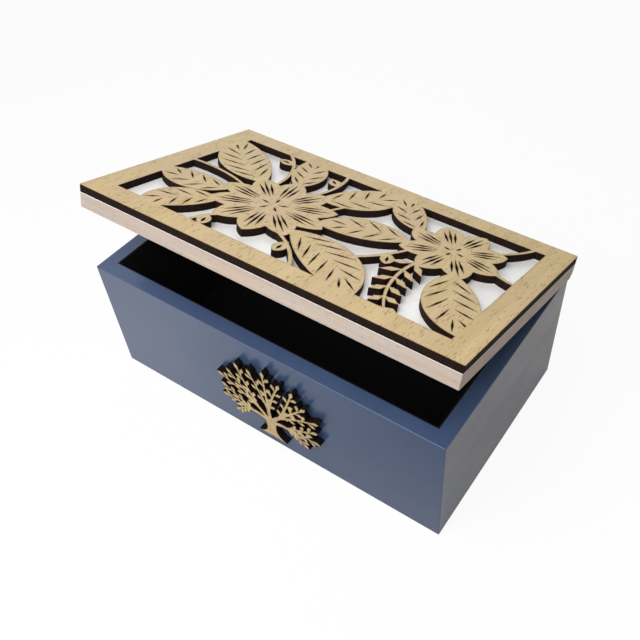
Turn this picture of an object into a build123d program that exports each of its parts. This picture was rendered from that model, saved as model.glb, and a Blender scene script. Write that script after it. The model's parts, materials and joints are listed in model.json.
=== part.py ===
"""Small hinged storage box of painted board with a pierced wooden lid.

The origin is the centre of the box's underside. +X runs to the right along the long front,
+Y to the back and +Z up. All sizes are in millimetres. The lid is drawn closed and then
turned up about the hinge pins by the angle at which it stands open.
"""
import os
from math import atan2, cos, degrees, radians, sin, tan

from build123d import *

# Box body
body_width = 218.0
body_depth = 128.5
body_height = 76.5
wall_thickness = 8.0
base_thickness = 5.0
base_rebate = 4.0
corner_radius = 0.5
edge_radius = 0.4

# Felt lining inside the body
lining_thickness = 0.8
lining_drop = 0.3

# Lid, from the underside up: board, white sheet, pierced plate
lid_gap = 0.3
lid_side_overhang = 1.2
lid_end_overhang = 0.9
board_thickness = 8.0
sheet_thickness = 0.3
plate_thickness = 4.1
open_angle = 17.0
stop_angle = 100.0

# Butt hinges, let into the rim and the lid
hinge_length = 24.0
hinge_end_distance = 38.0
hinge_axis_inset = 2.0
leaf_thickness = 0.9
leaf_reach = 5.0
knuckle_count = 3
barrel_radius = 1.5
pin_radius = 0.7
pin_clearance = 0.05
knuckle_gap = 0.15
barrel_clearance = 0.3
mortise_clearance = 0.1

# Countersunk brass screws in the hinge leaves
screw_length = 6.0
screw_radius = 0.65
screw_head_radius = 1.3
screw_clearance = 0.05
screw_end_distance = 5.0
screw_from_axis = 3.2
screw_sides = 8

# Pierced plate: widths, and the length of a bud as a share of half the field's depth
frame_border = 13.0
slit_width = 1.15
petal_slit_width = 1.4
bud_slit_width = 1.7
rib_width = 1.2
leaf_margin = 1.6
shortest_slit = 2.0
stem_width = 2.2
bud_length_share = 0.21

# Pierced plate: places as shares of a motif's own size, and angles in degrees
petal_root_share = 0.4
leaf_start_share = 0.8
stem_start_share = 0.66
seed_shares = (0.35, 1.0)
petal_slit_shares = {-1: (0.34, 0.77), 0: (0.30, 0.88), 1: (0.34, 0.77)}
petal_slit_splay_shares = (0.11, 0.18)
vein_foot_shares = (0.14, 0.86)
vein_sweep_share = 0.16
bud_roundness_share = 0.32
bud_slit_shares = (0.3, 0.82)
bud_lean_angle = 48
leaflet_foot_shares = (0.14, 0.92)
leaflet_lean_angle = 52

# Tree ornament on the front
tree_thickness = 4.0
tree_offset = 7.5
tree_foot_height = 12.3
tree_height = 55.0
crown_half_width = 34.5
crown_middle_height = 26.5
crown_droop_angle = 3.0
trunk_height = 13.0
trunk_width = 6.0
trunk_waist_share = 0.62
trunk_hollow_share = 0.25
trunk_flare = 1.3
trunk_top_spread = 0.5
foot_width = 19.4
bough_count = 5
bough_length = 11.5
bough_width = 3.2
bough_end_width = 2.3
bough_bow = 1.3
bough_fan_share = 0.9
fork_depth = 1.2
limbs_per_bough = 3
limb_width = 1.8
limb_bow = 0.6
limb_end_width = 1.1
short_limb_share = 0.94
tree_leaf_shares = (0.15, 0.3, 0.45, 0.6, 0.75, 0.9)
tree_leaf_lean_angle = 40
tree_leaf_width = 2.6
tree_leaf_fullest_share = 0.68
inner_tree_leaf = 5.0
outer_tree_leaf = 6.2
end_leaf_overlap = 1.6

# Places that follow from the sizes above
axis_y = body_depth / 2 - hinge_axis_inset
axis_z = body_height + lid_gap / 2
inner_width = body_width - 2 * wall_thickness
inner_depth = body_depth - 2 * wall_thickness
lid_width = body_width + 2 * lid_side_overhang
lid_depth = body_depth + 2 * lid_end_overhang
lid_underside = body_height + lid_gap
sheet_underside = lid_underside + board_thickness
plate_underside = sheet_underside + sheet_thickness
hinge_places = {
    "left": -body_width / 2 + hinge_end_distance,
    "right": body_width / 2 - hinge_end_distance,
}
lid_swing = Axis((0, axis_y, axis_z), (-1, 0, 0))
field_x = lid_width / 2 - frame_border
field_y = lid_depth / 2 - frame_border


def block(x_low, x_high, y_low, y_high, z_low, z_high):
    """A box given by its limits along each axis."""
    size = (x_high - x_low, y_high - y_low, z_high - z_low)
    middle = ((x_low + x_high) / 2, (y_low + y_high) / 2, (z_low + z_high) / 2)
    return Pos(*middle) * Box(*size)


def rod(radius, x_low, x_high):
    """A round bar along the hinge axis."""
    return Pos((x_low + x_high) / 2, axis_y, axis_z) * Rot(0, 90, 0) * Cylinder(radius, x_high - x_low)


def rear_bevel(z_face, y_back, up):
    """The wedge cut from a back edge, so that lid and rim meet at the stop angle."""
    reach = y_back - axis_y
    drop = reach * tan(radians(stop_angle / 2)) * (1 if up else -1)
    with_y = [(axis_y, z_face), (y_back, z_face), (y_back, z_face + drop)]
    corner = Polyline(*[(0, y, z) for y, z in with_y], close=True)
    wedge = extrude(make_face(corner), amount=lid_width, dir=(1, 0, 0))
    return Pos(-lid_width / 2, 0, 0) * wedge


def hinge_recesses(z_face, up):
    """What is cut from the rim or the lid board for the leaves, barrels and screws."""
    cutters = []
    side = 1 if up else -1
    for x in hinge_places.values():
        half = hinge_length / 2 + mortise_clearance
        z_limits = sorted((z_face, z_face + side * leaf_thickness))
        y_front = axis_y - leaf_reach - mortise_clearance
        cutters.append(block(x - half, x + half, y_front, axis_y, *z_limits))
        cutters.append(rod(barrel_radius + barrel_clearance, x - half, x + half))
        cutters += [screw(px, side, screw_clearance) for px in screw_places(x)]
    return cutters


def screw_places(x):
    """Where along the hinge its two screws stand."""
    reach = hinge_length / 2 - screw_end_distance
    return [x - reach, x + reach]


def screw(x, side, growth=0.0):
    """A countersunk screw, head flush with its leaf; side is 1 up into the lid, -1 down into the rim.
    It is drawn with flats in place of its round and its thread."""
    head = RegularPolygon(screw_head_radius + growth, screw_sides, major_radius=False)
    shank = RegularPolygon(screw_radius + growth, screw_sides, major_radius=False)
    sunk = screw_head_radius - screw_radius
    body = extrude(head, amount=sunk, taper=45)
    body += Pos(0, 0, sunk) * extrude(shank, amount=screw_length + growth - sunk)
    y = axis_y - screw_from_axis
    if side > 0:
        return Pos(x, y, lid_underside) * body
    return Pos(x, y, body_height) * Rot(180, 0, 0) * body


def body_ring():
    """The four walls as one ring, with the rebate for the base and the cuts for the hinges."""
    outer = block(-body_width / 2, body_width / 2, -body_depth / 2, body_depth / 2, 0, body_height)
    outer = fillet(outer.edges().filter_by(Axis.Z), corner_radius)
    outer = fillet(outer.edges().group_by(Axis.Z)[-1], edge_radius)
    half_width = inner_width / 2
    half_depth = inner_depth / 2
    ring = outer - block(-half_width, half_width, -half_depth, half_depth, 0, body_height)
    ring -= base_block()
    ring -= rear_bevel(body_height, body_depth / 2, up=False)
    for cutter in hinge_recesses(body_height, up=False):
        ring -= cutter
    return ring


def base_block():
    """The bottom board, let into the rebate round the foot of the walls."""
    half_width = inner_width / 2 + base_rebate
    half_depth = inner_depth / 2 + base_rebate
    return block(-half_width, half_width, -half_depth, half_depth, 0, base_thickness)


def wall_panels():
    """The ring parted along the mitres at its four corners."""
    ring = body_ring()
    far_x = body_width / 2
    far_y = body_depth / 2
    near_x = far_x - far_y
    wedges = {
        "front_panel": [(-near_x, 0), (near_x, 0), (far_x, -far_y), (-far_x, -far_y)],
        "back_panel": [(-near_x, 0), (near_x, 0), (far_x, far_y), (-far_x, far_y)],
        "left_panel": [(-near_x, 0), (-far_x, far_y), (-far_x, -far_y)],
        "right_panel": [(near_x, 0), (far_x, far_y), (far_x, -far_y)],
    }
    panels = {}
    for name, corners in wedges.items():
        wedge = extrude(make_face(Polyline(*corners, close=True)), amount=body_height)
        panels[name] = ring & wedge
    return panels


def linings():
    """Black felt on the floor and, standing on it, on the four walls."""
    x = inner_width / 2
    y = inner_depth / 2
    t = lining_thickness
    low = base_thickness + t
    high = body_height - lining_drop
    return {
        "floor_lining": block(-x, x, -y, y, base_thickness, low),
        "front_lining": block(-x, x, -y, -y + t, low, high),
        "back_lining": block(-x, x, y - t, y, low, high),
        "left_lining": block(-x, -x + t, -y + t, y - t, low, high),
        "right_lining": block(x - t, x, -y + t, y - t, low, high),
    }


def hinge_leaf(x, side):
    """One leaf with its knuckles; side is 1 for the leaf in the lid, -1 for the one in the rim."""
    z_face = lid_underside if side > 0 else body_height
    x_low = x - hinge_length / 2
    x_high = x + hinge_length / 2
    z_limits = sorted((z_face, z_face + side * leaf_thickness))
    leaf = block(x_low, x_high, axis_y - leaf_reach, axis_y, *z_limits)
    pitch = (hinge_length + knuckle_gap) / knuckle_count
    clear = barrel_radius + barrel_clearance
    for i in range(knuckle_count):
        start = x_low + i * pitch
        end = start + pitch - knuckle_gap
        if (i % 2 == 0) == (side < 0):
            leaf += rod(barrel_radius, start, end)
        else:
            room = (max(start - knuckle_gap, x_low), min(end + knuckle_gap, x_high))
            leaf -= block(*room, axis_y - clear, axis_y + clear, axis_z - clear, axis_z + clear)
    leaf -= rod(pin_radius + pin_clearance, x_low - 1, x_high + 1)
    for px in screw_places(x):
        leaf -= screw(px, side, screw_clearance)
    return leaf


def lid_board():
    """The plain board that carries the pierced plate, cut for the hinges along its back edge."""
    x = lid_width / 2
    y = lid_depth / 2
    board = block(-x, x, -y, y, lid_underside, sheet_underside)
    board = fillet(board.edges().filter_by(Axis.Z), corner_radius)
    board -= rear_bevel(lid_underside, y, up=True)
    for cutter in hinge_recesses(lid_underside, up=True):
        board -= cutter
    return board


def backing_sheet():
    """The white sheet that shows through the pierced plate, its corners clipped to follow the lid's."""
    outline = Rectangle(lid_width, lid_depth)
    outline = chamfer(outline.vertices(), corner_radius)
    return Pos(0, 0, sheet_underside) * extrude(outline, amount=sheet_thickness)


def toward(angle, length):
    """A step of some length at an angle in degrees."""
    return Vector(length * cos(radians(angle)), length * sin(radians(angle)))


def square_to(start, end):
    """The unit step to the left of the way from start to end."""
    way = (end - start).normalized()
    return Vector(-way.Y, way.X)


def lens(start, end, left, right):
    """A shape between two arcs that bulge to the left and the right of the way from start to end."""
    middle = (start + end) / 2
    side = square_to(start, end)
    out = ThreePointArc(start, middle + side * left, end)
    back = ThreePointArc(end, middle - side * right, start)
    return make_face([out, back])


def spaced(span, count):
    """Evenly spaced values from the first to the last of a span."""
    step = (span[1] - span[0]) / (count - 1)
    return [span[0] + i * step for i in range(count)]


def kite(start, end, width, widest=0.5):
    """A thin four-cornered slit, widest at some share of its length."""
    side = square_to(start, end) * width / 2
    belly = start + (end - start) * widest
    return make_face(Polyline(start, belly + side, end, belly - side, close=True))


def bow(start, middle, end):
    """An arc through three points, or a line where they are in line."""
    rise = abs((middle - start).cross(end - start).Z) / (end - start).length
    return ThreePointArc(start, middle, end) if rise > 0.02 else Line(start, end)


def band(start, end, bend, start_width, end_width):
    """A tapering strip along an arc."""
    side = square_to(start, end)
    middle = (start + end) / 2 + side * bend
    half_start = start_width / 2
    half_end = end_width / 2
    half_middle = (half_start + half_end) / 2
    left = bow(start + side * half_start, middle + side * half_middle, end + side * half_end)
    right = bow(end - side * half_end, middle - side * half_middle, start - side * half_start)
    return make_face([left, Line(left @ 1, right @ 0), right, Line(right @ 1, left @ 0)])


def along(start, end, bend, share):
    """A point on the arc from start to end, the arc's heading there and the step to its left."""
    arc = bow(start, (start + end) / 2 + square_to(start, end) * bend, end)
    way = arc % share
    return arc @ share, way, Vector(-way.Y, way.X)


def disc(centre, radius):
    """A round in the plane of the plate."""
    return Pos(centre.X, centre.Y) * Circle(radius)


class Blossom:
    """A flower of pointed petals. Its centre is given in shares of half the field each way,
    and its reach, petal width and eye in shares of half the field's depth."""

    def __init__(self, x_share, y_share, petals, reach, petal_width, eye, turn):
        self.centre = Vector(x_share * field_x, y_share * field_y)
        self.petals = petals
        self.reach = reach * field_y
        self.petal_width = petal_width * field_y
        self.eye = eye * field_y
        self.turn = turn

    def rim_point(self, angle, share):
        """A point that lies some share of the reach from the centre."""
        return self.centre + toward(angle, share * self.reach)

    def wood_and_cuts(self):
        """Petals round an eye, each with three long slits, and a ring of seeds cut in the eye."""
        wood = [disc(self.centre, self.eye)]
        cuts = []
        for i in range(self.petals):
            angle = self.turn + 360 * i / self.petals
            root = self.centre + toward(angle, petal_root_share * self.eye)
            tip = self.rim_point(angle, 1)
            wood.append(lens(root, tip, self.petal_width / 2, self.petal_width / 2))
            cuts += [self.petal_slit(angle, place) for place in petal_slit_shares]
            if i % 2 == 0:
                seed = [self.centre + toward(angle, part * self.eye) for part in seed_shares]
                cuts.append(kite(*seed, petal_slit_width))
        return wood, cuts

    def petal_slit(self, angle, place):
        """One slit of a petal; place is -1, 0 or 1 across it."""
        side = toward(angle + 90, place * self.petal_width)
        start, end = [
            self.rim_point(angle, share) + side * splay
            for share, splay in zip(petal_slit_shares[place], petal_slit_splay_shares)
        ]
        return kite(start, end, petal_slit_width)


def leaf_from(blossom, angle, tip_shares, width, bend, veins):
    """A broad leaf that grows from under a blossom, with slits for its side veins.
    Its width and bend are shares of half the field's depth."""
    start = blossom.rim_point(angle, leaf_start_share)
    end = Vector(tip_shares[0] * field_x, tip_shares[1] * field_y)
    width *= field_y
    bend *= field_y
    outline = lens(start, end, width / 2 + bend, width / 2 - bend)
    cuts = []
    for share in spaced(vein_foot_shares, veins):
        tip_share = min(share + vein_sweep_share, 1)
        foot, _, side = along(start, end, bend, share)
        tip, _, tip_side = along(start, end, bend, tip_share)
        reach = width * 2 * tip_share * (1 - tip_share) - leaf_margin
        if reach > rib_width + shortest_slit:
            for hand in (1, -1):
                cuts.append(kite(foot + side * hand * rib_width, tip + tip_side * hand * reach, slit_width))
    return [outline], cuts


def tendril_from(blossom, angle, tip_shares, bend, buds):
    """A thin stem out to the frame, with slit buds given as share along it and side."""
    start = blossom.rim_point(angle, stem_start_share)
    end = Vector(tip_shares[0] * field_x, tip_shares[1] * field_y)
    bend *= field_y
    wood = [band(start, end, bend, stem_width * 0.8, stem_width)]
    cuts = []
    length = bud_length_share * field_y
    bulge = bud_roundness_share * length
    for share, hand in buds:
        foot, way, _ = along(start, end, bend, share)
        lean = heading(way) + hand * bud_lean_angle
        wood.append(lens(foot, foot + toward(lean, length), bulge, bulge))
        slit = [foot + toward(lean, length * part) for part in bud_slit_shares]
        cuts.append(kite(*slit, bud_slit_width))
    return wood, cuts


def frond_from(blossom, angle, tip_shares, bend, pairs, leaflet_length, leaflet_width):
    """A stem with small leaflets in pairs, shorter towards its tip."""
    start = blossom.rim_point(angle, stem_start_share)
    end = Vector(tip_shares[0] * field_x, tip_shares[1] * field_y)
    bend *= field_y
    wood = [band(start, end, bend, stem_width, stem_width * 0.6)]
    for share in spaced(leaflet_foot_shares, pairs):
        foot, way, _ = along(start, end, bend, share)
        length = leaflet_length * field_y * (1 - share / 2)
        for hand in (1, -1):
            tip = foot + toward(heading(way) + hand * leaflet_lean_angle, length)
            wood.append(kite(foot, tip, leaflet_width * field_y))
    return wood, []


def heading(way):
    """The angle of a direction, in degrees."""
    return degrees(atan2(way.Y, way.X))


def spray():
    """The flowers, leaves, tendrils and frond that fill the field, as wood and cuts."""
    large = Blossom(-0.32, -0.17, petals=10, reach=0.65, petal_width=0.325, eye=0.155, turn=30)
    small = Blossom(0.63, 0.35, petals=8, reach=0.53, petal_width=0.31, eye=0.12, turn=-12)
    motifs = [
        large.wood_and_cuts(),
        small.wood_and_cuts(),
        leaf_from(large, 138, (-1.04, 0.94), width=0.56, bend=0.10, veins=7),
        leaf_from(large, 184, (-1.05, -0.30), width=0.40, bend=0.08, veins=5),
        leaf_from(large, 216, (-0.80, -1.12), width=0.42, bend=-0.10, veins=5),
        leaf_from(large, 104, (-0.56, 1.15), width=0.37, bend=-0.06, veins=5),
        leaf_from(large, 66, (0.08, 1.12), width=0.48, bend=-0.10, veins=5),
        leaf_from(large, -34, (0.50, -1.10), width=0.54, bend=0.13, veins=7),
        leaf_from(small, 201, (-0.045, -0.165), width=0.44, bend=-0.08, veins=5),
        leaf_from(small, 163, (0.13, 1.15), width=0.35, bend=0.08, veins=5),
        leaf_from(small, -62, (1.06, -0.94), width=0.52, bend=-0.08, veins=6),
        frond_from(small, -110, (0.68, -1.06), bend=-0.13, pairs=6, leaflet_length=0.27, leaflet_width=0.08),
        tendril_from(large, 132, (-0.80, 1.15), bend=-0.17, buds=[(0.56, 1)]),
        tendril_from(large, 76, (-0.30, 1.15), bend=-0.10, buds=[(0.5, 1)]),
        tendril_from(large, 10, (0.24, 0.90), bend=0.17, buds=[]),
        tendril_from(large, -98, (-0.50, -1.10), bend=-0.08, buds=[(0.5, 1)]),
        tendril_from(large, -58, (0.16, -1.10), bend=0.10, buds=[(0.42, -1)]),
        tendril_from(large, 166, (-1.05, 0.06), bend=-0.08, buds=[]),
        tendril_from(small, 42, (0.95, 1.12), bend=-0.06, buds=[]),
        tendril_from(small, 5, (1.05, 0.20), bend=-0.06, buds=[]),
        tendril_from(small, -148, (0.20, -0.62), bend=0.08, buds=[(0.36, 1)]),
    ]
    wood = [piece for pieces, _ in motifs for piece in pieces]
    cuts = [cut for _, holes in motifs for cut in holes]
    return wood, cuts


def fret_plate():
    """The pierced plate: a plain border round a spray of flowers and leaves sawn right through."""
    wood, cuts = spray()
    field = Rectangle(2 * field_x, 2 * field_y)
    pierced = ((Sketch() + wood) & field) - cuts
    outline = RectangleRounded(lid_width, lid_depth, corner_radius) - field + pierced
    return Pos(0, 0, plate_underside) * extrude(outline, amount=plate_thickness)


def trunk():
    """The tree's trunk, with a foot that flares out to the ground line."""
    foot = foot_width / 2
    half = trunk_width / 2
    waist = Vector(half, trunk_height * trunk_waist_share)
    hollow = Vector(half + trunk_flare, trunk_height * trunk_hollow_share)
    top = Vector(half + trunk_top_spread, trunk_height)
    right = [ThreePointArc((foot, 0), hollow, waist), Line(waist, top)]
    left = [mirror(edge, about=Plane.YZ) for edge in right]
    return make_face(Sketch() + right + left + [Line(top, (-top.X, top.Y)), Line((-foot, 0), (foot, 0))])


def tree_leaf(foot, angle, length):
    """A small pointed leaf on a short stalk, fullest towards its tip."""
    return kite(foot, foot + toward(angle, length), tree_leaf_width, tree_leaf_fullest_share)


def crown_reach(angle):
    """How far the crown's oval edge lies from the fork in a direction."""
    half_height = tree_height - crown_middle_height
    rise = (crown_middle_height - trunk_height + fork_depth) / half_height
    across = cos(radians(angle)) / crown_half_width
    up = sin(radians(angle)) / half_height
    slope = across**2 + up**2
    return (up * rise + ((up * rise) ** 2 + slope * (1 - rise**2)) ** 0.5) / slope


def limb(start, tip, bend, first_hand):
    """A thin limb with a leaf at its end and leaves to each side in turn, longer further out."""
    shapes = [band(start, tip, bend, limb_width, limb_end_width)]
    hand = first_hand
    for share in tree_leaf_shares:
        foot, way, _ = along(start, tip, bend, share)
        length = inner_tree_leaf + (outer_tree_leaf - inner_tree_leaf) * share
        shapes.append(tree_leaf(foot, heading(way) + hand * tree_leaf_lean_angle, length))
        hand = -hand
    _, way, _ = along(start, tip, bend, 1)
    foot = tip - way * end_leaf_overlap
    shapes.append(tree_leaf(foot, heading(way), outer_tree_leaf + end_leaf_overlap))
    return shapes


def tree_outline():
    """A spreading tree: trunk, boughs that fan out from its top, and limbs with leaves."""
    shapes = [trunk()]
    fork = Vector(0, trunk_height - fork_depth)
    limb_count = bough_count * limbs_per_bough
    step = (180 + 2 * crown_droop_angle) / (limb_count - 1)
    for i in range(bough_count):
        first = -crown_droop_angle + i * limbs_per_bough * step
        angles = [first + j * step for j in range(limbs_per_bough)]
        middle = 90 + bough_fan_share * (sum(angles) / limbs_per_bough - 90)
        end = fork + toward(middle, bough_length)
        bend = bough_bow * (90 - middle) / 90
        shapes.append(band(fork, end, bend, bough_width, bough_end_width))
        parting = fork + toward(middle, bough_length - limb_width / 2)
        for j, angle in enumerate(angles):
            odd = (i * limbs_per_bough + j) % 2
            reach = crown_reach(angle) * (1 if odd else short_limb_share) - outer_tree_leaf
            bend = limb_bow * (middle - angle) / step
            shapes += limb(parting, fork + toward(angle, reach), bend, 1 if odd else -1)
    return Sketch() + shapes


def tree_applique():
    """The tree ornament, sawn from sheet and glued to the front."""
    face = Plane(
        origin=(tree_offset, -body_depth / 2, tree_foot_height),
        x_dir=(1, 0, 0),
        z_dir=(0, -1, 0),
    )
    return extrude(face * tree_outline(), amount=tree_thickness)


def screws(side):
    """All the screws of the two leaves on one side, as one group."""
    places = [px for x in hinge_places.values() for px in screw_places(x)]
    return Part() + [screw(px, side) for px in places]


def body_parts():
    """Everything that stays on the table."""
    parts = {**wall_panels(), "base_panel": base_block(), **linings()}
    parts["tree_applique"] = tree_applique()
    for place, x in hinge_places.items():
        parts[f"{place}_hinge_body_leaf"] = hinge_leaf(x, -1)
        parts[f"{place}_hinge_pin"] = rod(pin_radius, x - hinge_length / 2, x + hinge_length / 2)
    parts["body_leaf_screws"] = screws(-1)
    return parts


def lid_parts():
    """Everything that swings with the lid, drawn closed."""
    parts = {
        "lid_board": lid_board(),
        "backing_sheet": backing_sheet(),
        "fret_plate": fret_plate(),
    }
    for place, x in hinge_places.items():
        parts[f"{place}_hinge_lid_leaf"] = hinge_leaf(x, 1)
    parts["lid_leaf_screws"] = screws(1)
    return parts


def main():
    """Write one STEP file for each piece, with the lid standing open."""
    os.makedirs("parts", exist_ok=True)
    pieces = body_parts()
    for name, piece in lid_parts().items():
        pieces[name] = piece.rotate(lid_swing, open_angle)
    for name, piece in pieces.items():
        export_step(piece, f"parts/{name}.step")
        print(name, round(piece.volume, 1))


main()
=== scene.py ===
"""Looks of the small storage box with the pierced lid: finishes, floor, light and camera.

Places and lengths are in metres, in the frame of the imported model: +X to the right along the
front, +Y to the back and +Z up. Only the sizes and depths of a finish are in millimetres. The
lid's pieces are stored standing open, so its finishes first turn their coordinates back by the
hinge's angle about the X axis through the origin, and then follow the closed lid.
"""

import json
from math import cos, pi, radians, sin

import bpy
from mathutils import Matrix, Vector

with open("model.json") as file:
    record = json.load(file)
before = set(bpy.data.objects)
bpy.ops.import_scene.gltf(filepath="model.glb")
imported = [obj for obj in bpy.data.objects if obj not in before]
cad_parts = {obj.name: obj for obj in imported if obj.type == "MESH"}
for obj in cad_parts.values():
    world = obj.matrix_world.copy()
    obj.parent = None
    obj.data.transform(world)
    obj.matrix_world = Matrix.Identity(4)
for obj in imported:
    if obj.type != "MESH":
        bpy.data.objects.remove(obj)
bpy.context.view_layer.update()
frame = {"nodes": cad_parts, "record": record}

record = frame["record"]
hinge = record["behaviour"]["joints"][0]
open_angle = radians(-hinge["range_deg"][0])

mm = 0.001

# Colours as linear values
white = (1.0, 1.0, 1.0)
paint_blue = (0.044, 0.076, 0.160)
paint_thin = (0.100, 0.130, 0.190)
paint_dust = (0.050, 0.083, 0.168)
veneer_light = (0.630, 0.492, 0.262)
veneer_mid = (0.560, 0.424, 0.210)
veneer_pink = (0.585, 0.432, 0.264)
veneer_pore = (0.170, 0.090, 0.035)
veneer_line = (0.400, 0.265, 0.125)
veneer_scorch = (0.140, 0.075, 0.035)
# Laser char made darker still as painted shade, for the tree's sawn faces
char_painted_shade = (0.0030, 0.0016, 0.0013)
char_dark = (0.0072, 0.0031, 0.0022)
char_light = (0.0175, 0.0080, 0.0053)
board_light = (0.560, 0.478, 0.428)
board_mid = (0.500, 0.416, 0.357)
board_line = (0.420, 0.320, 0.230)
board_streak = (0.330, 0.220, 0.140)
felt_black = (0.0060, 0.0060, 0.0068)
felt_lint = (0.0200, 0.0200, 0.0220)
sheet_white = (0.930, 0.925, 0.918)
sheet_shade = (0.885, 0.880, 0.872)
brass_bright = (0.700, 0.500, 0.200)
brass_dull = (0.420, 0.290, 0.110)

# The two sawn pieces: the way the show face looks, the sizes of pores, bands and fine lines in
# millimetres along each axis, and the colours of the sawn faces. The tree's sawn faces take a
# darker pair than the plate's, which paints shade onto them. The grain runs up the tree, and
# from front to back on the plate.
tree_oak = {
    "face": (0, -1, 0),
    "pores": (0.58, 50, 4.4),
    "bands": (4, 50, 120),
    "lines": (0.5, 50, 20),
    # Sawn faces: real char, darkened further with painted shade
    "chars": (char_painted_shade, char_dark),
}
plate_oak = {
    "face": (0, 0, 1),
    "pores": (0.58, 4.4, 50),
    "bands": (6, 120, 50),
    "lines": (0.6, 30, 50),
    "chars": (char_dark, char_light),
}
pore_strength = 0.85
scorch_strength = 0.6
scorch_reach = 0.7

# A mix node has a set of sockets for each kind of value, and these are the ones for colours
mix_share, mix_first, mix_second, mix_result = 0, 6, 7, 2


class Nodes:
    """The node tree of a material or world, with a short call for each kind of node used here.
    A value, vector or colour that is given to a call is a socket to link or a plain one to set."""

    def __init__(self, owner):
        owner.use_nodes = True
        self.tree = owner.node_tree
        self.tree.nodes.clear()
        self.coordinates = self.add("ShaderNodeTexCoord")

    def add(self, kind, **settings):
        node = self.tree.nodes.new(kind)
        for name, value in settings.items():
            setattr(node, name, value)
        return node

    def join(self, source, target):
        """Link a socket to a target, or set the target to a plain value, a colour as opaque."""
        if isinstance(source, bpy.types.NodeSocket):
            self.tree.links.new(source, target)
        elif target.type == "RGBA":
            target.default_value = (*source, 1.0)
        else:
            target.default_value = source

    def place(self, turn=0.0):
        """The point on the object, turned about X."""
        return self.turned(self.coordinates.outputs["Object"], turn)

    def turned(self, vector, turn):
        node = self.add("ShaderNodeVectorRotate", rotation_type="X_AXIS")
        self.join(vector, node.inputs["Vector"])
        self.join(turn, node.inputs["Angle"])
        return node.outputs["Vector"]

    def math(self, operation, first, second):
        """The result of an operation on two values."""
        node = self.add("ShaderNodeMath", operation=operation)
        self.join(first, node.inputs[0])
        self.join(second, node.inputs[1])
        return node.outputs[0]

    def ease(self, value, low, high, start=0.0, end=1.0):
        """From start to end as a value goes from low to high, and held outside them."""
        node = self.add("ShaderNodeMapRange", clamp=True)
        self.join(value, node.inputs["Value"])
        self.join(low, node.inputs["From Min"])
        self.join(high, node.inputs["From Max"])
        self.join(start, node.inputs["To Min"])
        self.join(end, node.inputs["To Max"])
        return node.outputs["Result"]

    def blend(self, share, first, second):
        """A colour between two others."""
        node = self.add("ShaderNodeMix", data_type="RGBA")
        self.join(share, node.inputs[mix_share])
        self.join(first, node.inputs[mix_first])
        self.join(second, node.inputs[mix_second])
        return node.outputs[mix_result]

    def shader(self, kind, colour):
        """A shader of one colour."""
        node = self.add(kind)
        self.join(colour, node.inputs["Color"])
        return node.outputs[0]

    def mixed(self, share, first, second):
        """A shader between two others."""
        node = self.add("ShaderNodeMixShader")
        for source, target in zip((share, first, second), node.inputs):
            self.join(source, target)
        return node.outputs[0]

    def show(self, kind, shader):
        """Send a shader to an output of a kind."""
        self.join(shader, self.add(kind).inputs["Surface"])

    def ray(self, kind):
        """1 for one kind of ray, such as the camera's, and 0 for the others."""
        return self.add("ShaderNodeLightPath").outputs[kind]

    def strongest(self, amounts):
        """The largest of some amounts, each given for one kind of ray and 0 for the others."""
        largest = 0.0
        for kind, amount in amounts.items():
            largest = self.math("MAXIMUM", largest, self.math("MULTIPLY", self.ray(kind), amount))
        return largest

    def seen(self):
        """1 for what the camera, gloss and glass see, and 0 for plain light."""
        return self.strongest({"Is Camera Ray": 1, "Is Glossy Ray": 1, "Is Transmission Ray": 1})

    def near_point(self, point, near, far):
        """From 1 within one distance of a point to 0 beyond another, in metres."""
        node = self.add("ShaderNodeVectorMath", operation="DISTANCE")
        self.join(self.place(), node.inputs[0])
        self.join(point, node.inputs[1])
        return self.ease(node.outputs["Value"], far, near)


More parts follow.
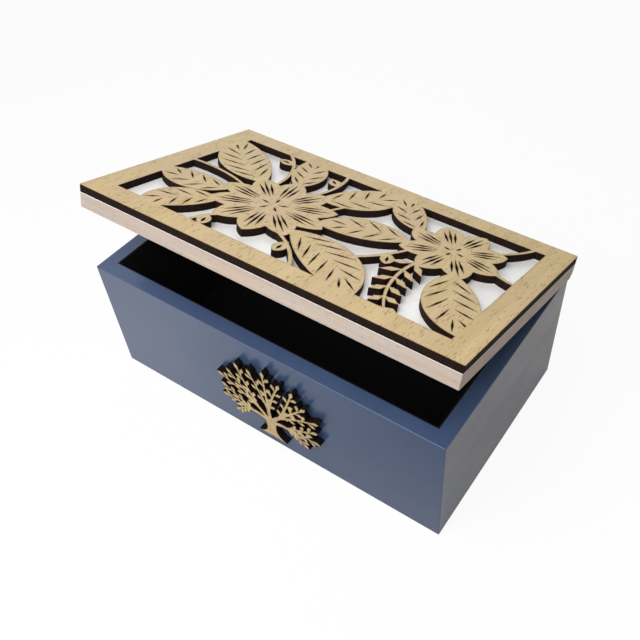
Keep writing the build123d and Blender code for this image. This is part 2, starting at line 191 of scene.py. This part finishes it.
class Finish(Nodes):
    """A material on the object. Sizes, depths and reaches are in millimetres."""

    def __init__(self, name):
        self.material = bpy.data.materials.new(name)
        super().__init__(self.material)
        self.surface = self.add("ShaderNodeBsdfPrincipled")
        self.show("ShaderNodeOutputMaterial", self.surface.outputs[0])

    def toward(self, direction, turn=0.0):
        """How squarely the surface, turned about X, looks in a direction, from -1 to 1."""
        node = self.add("ShaderNodeVectorMath", operation="DOT_PRODUCT")
        self.join(self.turned(self.coordinates.outputs["Normal"], turn), node.inputs[0])
        self.join(direction, node.inputs[1])
        return node.outputs["Value"]

    def scaled(self, vector, size):
        """A place counted in cells of a size along each axis."""
        node = self.add("ShaderNodeMapping")
        self.join(vector, node.inputs["Vector"])
        self.join([1 / (length * mm) for length in size], node.inputs["Scale"])
        return node.outputs["Vector"]

    def noise(self, vector, size, detail=2.0, roughness=0.5, distortion=0.0):
        """Noise from 0 to 1, in cells of a size."""
        node = self.add("ShaderNodeTexNoise", noise_dimensions="3D")
        self.join(self.scaled(vector, size), node.inputs["Vector"])
        self.join(1.0, node.inputs["Scale"])
        self.join(detail, node.inputs["Detail"])
        self.join(roughness, node.inputs["Roughness"])
        self.join(distortion, node.inputs["Distortion"])
        return node.outputs[0]

    def cells(self, vector, size):
        """Scattered cells of a size: how far the nearest centre lies, and each cell's number."""
        node = self.add("ShaderNodeTexVoronoi", voronoi_dimensions="3D", feature="F1")
        self.join(self.scaled(vector, size), node.inputs["Vector"])
        self.join(1.0, node.inputs["Scale"])
        parts = self.add("ShaderNodeSeparateXYZ")
        self.join(node.outputs["Color"], parts.inputs[0])
        return node.outputs["Distance"], parts.outputs["X"]

    def near_edge(self, reach):
        """From 0 on open faces to 1 at a sharp edge of the same piece, within a reach."""
        node = self.add("ShaderNodeAmbientOcclusion", samples=4, inside=True, only_local=True)
        self.join(reach * mm, node.inputs["Distance"])
        return self.ease(node.outputs["AO"], 1.0, 0.5)

    def shine(self, **values):
        """Set plain values on the shader, by the names of its inputs."""
        for name, value in values.items():
            self.join(value, self.surface.inputs[name.replace("_", " ")])

    def bump(self, height, depth):
        """Relief of a depth, on top of what the shader already has."""
        node = self.add("ShaderNodeBump")
        self.join(1.0, node.inputs["Strength"])
        self.join(depth * mm, node.inputs["Distance"])
        self.join(height, node.inputs["Height"])
        normal = self.surface.inputs["Normal"]
        if normal.links:
            self.join(normal.links[0].from_socket, node.inputs["Normal"])
        self.join(node.outputs[0], normal)

    def colour(self, socket):
        self.join(socket, self.surface.inputs["Base Color"])

    def roughness(self, socket):
        self.join(socket, self.surface.inputs["Roughness"])


def painted_board():
    """Satin blue-grey paint, rolled on, with faint clouds and small pale specks."""
    paint = Finish("blue_paint")
    here = paint.place()
    cloud = paint.noise(here, (45, 45, 30), detail=3.0)
    speck = paint.noise(here, (1.1, 1.1, 1.1))
    smear = paint.noise(here, (30, 30, 12), detail=4.0)
    roller = paint.noise(here, (0.9, 0.9, 0.9), detail=3.0)
    colour = paint.blend(paint.ease(cloud, 0.35, 0.7), paint_blue, paint_dust)
    colour = paint.blend(paint.ease(speck, 0.62, 0.8, end=0.25), colour, paint_thin)
    paint.colour(colour)
    paint.roughness(paint.ease(smear, 0.3, 0.7, start=0.22, end=0.27))
    paint.shine(IOR=1.5, Specular_IOR_Level=0.5)
    paint.bump(roller, 0.035)
    return paint.material


def oak_pores(wood, here, size):
    """1 in short dashes that lie in clusters, each in a cell of a size, and 0 between them."""
    distance, number = wood.cells(here, size)
    dash = wood.ease(distance, 0.36, 0.2)
    cluster = wood.noise(here, (3.5, 14, 50), distortion=0.6)
    crowded = wood.ease(cluster, 0.38, 0.62, start=-0.4, end=0.35)
    chosen = wood.ease(wood.math("ADD", number, crowded), 0.45, 0.8)
    return wood.math("MULTIPLY", dash, chosen)


def veneer(name, turn, face, pores, bands, lines, chars):
    """Pale oak veneer: short dark pores and scorched edges on its show face, and near-black on
    the others, which were sawn by laser. On the tree the sawn faces' chars are darker still, as
    painted shade."""
    wood = Finish(name)
    here = wood.place(turn)
    band = wood.noise(here, bands, detail=4.0, distortion=0.3)
    line = wood.noise(here, lines)
    cloud = wood.noise(here, (50, 90, 50))
    soot = wood.noise(here, (0.6, 0.6, 4), detail=3.0)
    pore = oak_pores(wood, here, pores)
    dark_pore = wood.math("MULTIPLY", pore, pore_strength)
    scorch = wood.math("MULTIPLY", wood.near_edge(scorch_reach), scorch_strength)

    show = wood.blend(wood.ease(band, 0.35, 0.65), veneer_light, veneer_mid)
    show = wood.blend(wood.ease(cloud, 0.45, 0.65, end=0.7), show, veneer_pink)
    show = wood.blend(wood.ease(line, 0.52, 0.75, end=0.45), show, veneer_line)
    show = wood.blend(dark_pore, show, veneer_pore)
    show = wood.blend(scorch, show, veneer_scorch)
    sawn = wood.blend(wood.ease(soot, 0.3, 0.7), *chars)

    shown = wood.ease(wood.toward(face, turn), 0.6, 0.8)
    wood.colour(wood.blend(shown, sawn, show))
    wood.roughness(wood.ease(shown, 0.0, 1.0, start=0.85, end=0.55))
    wood.shine(IOR=1.45, Specular_IOR_Level=0.15)
    wood.bump(wood.math("SUBTRACT", 1.0, pore), 0.08)
    wood.bump(line, 0.02)
    return wood.material


def bare_board(name, turn):
    """Pale sanded board, with its grain and a few short streaks along X."""
    wood = Finish(name)
    here = wood.place(turn)
    figure = wood.noise(here, (90, 12, 3.5), detail=4.0, distortion=0.5)
    fine = wood.noise(here, (12, 0.7, 0.6), detail=3.0)
    cloud = wood.noise(here, (60, 30, 20))
    distance, number = wood.cells(here, (4.5, 0.8, 0.7))
    chosen = wood.ease(number, 0.70, 0.85, end=0.55)
    streak = wood.math("MULTIPLY", wood.ease(distance, 0.4, 0.15), chosen)
    colour = wood.blend(wood.ease(figure, 0.35, 0.65), board_light, board_mid)
    colour = wood.blend(wood.ease(fine, 0.55, 0.8, end=0.35), colour, board_line)
    colour = wood.blend(wood.ease(cloud, 0.45, 0.7, end=0.35), colour, veneer_pink)
    colour = wood.blend(streak, colour, board_streak)
    wood.colour(colour)
    wood.roughness(wood.ease(fine, 0.3, 0.7, start=0.55, end=0.68))
    wood.shine(IOR=1.45, Specular_IOR_Level=0.3)
    wood.bump(fine, 0.03)
    return wood.material


def black_felt():
    """Matte black felt: matted fibres and a little lint."""
    felt = Finish("black_felt")
    fibres = felt.noise(felt.place(), (0.7, 0.7, 0.7), detail=6.0, roughness=0.7)
    felt.colour(felt.blend(felt.ease(fibres, 0.5, 0.8), felt_black, felt_lint))
    felt.shine(Roughness=0.95, IOR=1.3, Specular_IOR_Level=0.2)
    felt.shine(Sheen_Weight=0.03, Sheen_Roughness=0.6)
    felt.bump(fibres, 0.2)
    return felt.material


def white_sheet(turn):
    """Smooth white sheet behind the pierced plate."""
    sheet = Finish("white_sheet")
    here = sheet.place(turn)
    cloud = sheet.noise(here, (30, 30, 30), detail=3.0)
    grain = sheet.noise(here, (0.5, 0.5, 0.5))
    sheet.colour(sheet.blend(sheet.ease(cloud, 0.35, 0.65), sheet_white, sheet_shade))
    sheet.shine(Roughness=0.5, IOR=1.45)
    sheet.bump(grain, 0.01)
    return sheet.material


def hinge_brass(name, turn):
    """Drawn brass, dulled a little, with fine lines along the hinge."""
    brass = Finish(name)
    here = brass.place(turn)
    tarnish = brass.noise(here, (4, 3, 3), detail=4.0)
    lines = brass.noise(here, (8, 0.12, 0.12))
    brass.colour(brass.blend(brass.ease(tarnish, 0.4, 0.75), brass_bright, brass_dull))
    brass.roughness(brass.ease(tarnish, 0.3, 0.7, start=0.24, end=0.42))
    brass.shine(Metallic=1.0)
    brass.bump(lines, 0.008)
    return brass.material


def dress():
    """Give every piece its finish, by its slot in the record and the body that it rides on."""
    on_body = {
        "blue_paint": painted_board(),
        "bare_board": bare_board("base_board", 0.0),
        "black_felt": black_felt(),
        "oak_veneer": veneer("tree_veneer", 0.0, **tree_oak),
        "hinge_brass": hinge_brass("body_brass", 0.0),
    }
    on_lid = {
        "bare_board": bare_board("lid_board", open_angle),
        "oak_veneer": veneer("plate_veneer", open_angle, **plate_oak),
        "white_sheet": white_sheet(open_angle),
        "hinge_brass": hinge_brass("lid_brass", open_angle),
    }
    lid_nodes = record["behaviour"]["bodies"]["lid"]
    for part in record["subparts"]:
        finishes = on_lid if part["node"] in lid_nodes else on_body
        for slot in frame["nodes"][part["node"]].material_slots:
            slot.material = finishes[part["material_slot"]]


# Floor and background. A reach is the distance from a place at which an effect is whole and the
# one at which it has gone.
floor_size = 12.0
floor_colour = (0.84, 0.84, 0.83)
floor_glow = 0.92
floor_glow_in_gloss = 0.22
near_box = (0.0, 0.0, 0.0)
near_box_reach = (0.5, 2.0)
# A painted shadow and a patch of painted warm light on the floor, seen only in the box's gloss
shade_place = (0.09, -0.15, 0.0)
shade_reach = (0.04, 0.19)
shade_colour = (0.30, 0.30, 0.30)
painted_warm_glare_place = (0.14, 0.06, 0.0)
painted_warm_glare_reach = (0.08, 0.17)
painted_warm_glare_colour = (1.0, 0.88, 0.70)
world_light = 0.14
world_colour = (0.97, 0.98, 1.0)


def floor_in_gloss(nodes):
    """The floor's colour as the box reflects it: a painted shadow in front of the right end and
    painted warm light at the right side, which paint the glare on the box's front and side. The
    eye sees plain white."""
    colour = nodes.blend(nodes.near_point(shade_place, *shade_reach), white, shade_colour)
    colour = nodes.blend(nodes.near_point(painted_warm_glare_place, *painted_warm_glare_reach), colour, painted_warm_glare_colour)
    return nodes.blend(nodes.ray("Is Camera Ray"), colour, white)


def glow_by_ray(nodes):
    """How much of the floor's white is its own glow: all of it far away, so that no horizon shows,
    and in gloss and glass only a part, so that the object's shadow shows there too."""
    near = nodes.near_point(near_box, *near_box_reach)
    return nodes.strongest({
        "Is Camera Ray": nodes.ease(near, 0.0, 1.0, start=1.0, end=floor_glow),
        "Is Glossy Ray": floor_glow_in_gloss,
        "Is Transmission Ray": floor_glow_in_gloss,
    })


def pale_floor():
    """A plain floor that looks white and still keeps the object's shadow."""
    bpy.ops.mesh.primitive_plane_add(size=floor_size, location=(0, 0, 0))
    floor = bpy.context.object
    floor.name = "floor"
    material = bpy.data.materials.new("pale_floor")
    nodes = Nodes(material)
    plain = nodes.shader("ShaderNodeBsdfDiffuse", floor_colour)
    bright = nodes.shader("ShaderNodeBsdfDiffuse", floor_in_gloss(nodes))
    glow = nodes.shader("ShaderNodeEmission", white)
    seen = nodes.mixed(glow_by_ray(nodes), bright, glow)
    nodes.show("ShaderNodeOutputMaterial", nodes.mixed(nodes.seen(), plain, seen))
    floor.data.materials.append(material)


def white_world():
    """A soft even light from all round, seen as plain white."""
    world = bpy.data.worlds.new("studio")
    bpy.context.scene.world = world
    nodes = Nodes(world)
    light = nodes.shader("ShaderNodeBackground", [part * world_light for part in world_colour])
    seen = nodes.shader("ShaderNodeBackground", white)
    nodes.show("ShaderNodeOutputWorld", nodes.mixed(nodes.seen(), light, seen))


# Camera, as fitted to the edges of the box in the photograph. Angles are in degrees, and the lens
# and the picture's shift are in pixels.
picture_width = 640
focal_pixels = 780.7
shift_pixels = (-50.0, 6.9)
view_azimuth = 35.194
view_elevation = 47.491
view_roll = -2.012
view_distance = 0.4330
view_target = Vector((0.02364, 0.00301, 0.0436))
nearest_seen = 0.01
farthest_seen = 50.0


def away(azimuth, elevation):
    """The unit step from the object towards a viewer or a lamp."""
    a = radians(azimuth)
    e = radians(elevation)
    return Vector((sin(a) * cos(e), -cos(a) * cos(e), sin(e)))


def camera():
    """The photograph's viewpoint."""
    back = away(view_azimuth, view_elevation)
    right = away(view_azimuth + 90, 0)
    up = back.cross(right)
    roll = radians(view_roll)
    rolled_right = right * cos(roll) + up * sin(roll)
    rolled_up = up * cos(roll) - right * sin(roll)
    data = bpy.data.cameras.new("camera")
    data.lens = focal_pixels / picture_width * data.sensor_width
    data.shift_x = shift_pixels[0] / picture_width
    data.shift_y = shift_pixels[1] / picture_width
    data.clip_start = nearest_seen
    data.clip_end = farthest_seen
    viewer = bpy.data.objects.new("camera", data)
    bpy.context.collection.objects.link(viewer)
    turn = Matrix((rolled_right, rolled_up, back)).transposed().to_4x4()
    viewer.matrix_world = Matrix.Translation(view_target + back * view_distance) @ turn
    bpy.context.scene.camera = viewer


# The point that the lamps look at
lamp_target = Vector((0, 0, 0.05))


def soft_lamp(name, azimuth, elevation, distance, size, brightness, colour):
    """A square lamp that looks at the object. A white face turned to it shows its brightness."""
    data = bpy.data.lights.new(name, "AREA")
    data.shape = "SQUARE"
    data.size = size
    data.energy = brightness * (pi * distance) ** 2
    data.color = colour
    lamp = bpy.data.objects.new(name, data)
    bpy.context.collection.objects.link(lamp)
    way = away(azimuth, elevation)
    lamp.location = way * distance + lamp_target
    lamp.rotation_euler = way.to_track_quat("Z", "Y").to_euler()


def lights():
    """A large soft lamp overhead, a key from the front left and a low one behind."""
    soft_lamp("key", azimuth=-20, elevation=34, distance=0.7, size=0.35,
              brightness=0.30, colour=(1.0, 0.99, 0.98))
    soft_lamp("overhead", azimuth=8, elevation=66, distance=0.6, size=0.5,
              brightness=0.87, colour=(1.0, 0.99, 0.97))
    soft_lamp("back_fill", azimuth=210, elevation=9, distance=1.4, size=0.9,
              brightness=0.44, colour=(1.0, 0.99, 0.98))


dress()
pale_floor()
white_world()
lights()
camera()
bpy.context.scene.view_settings.view_transform = "Standard"
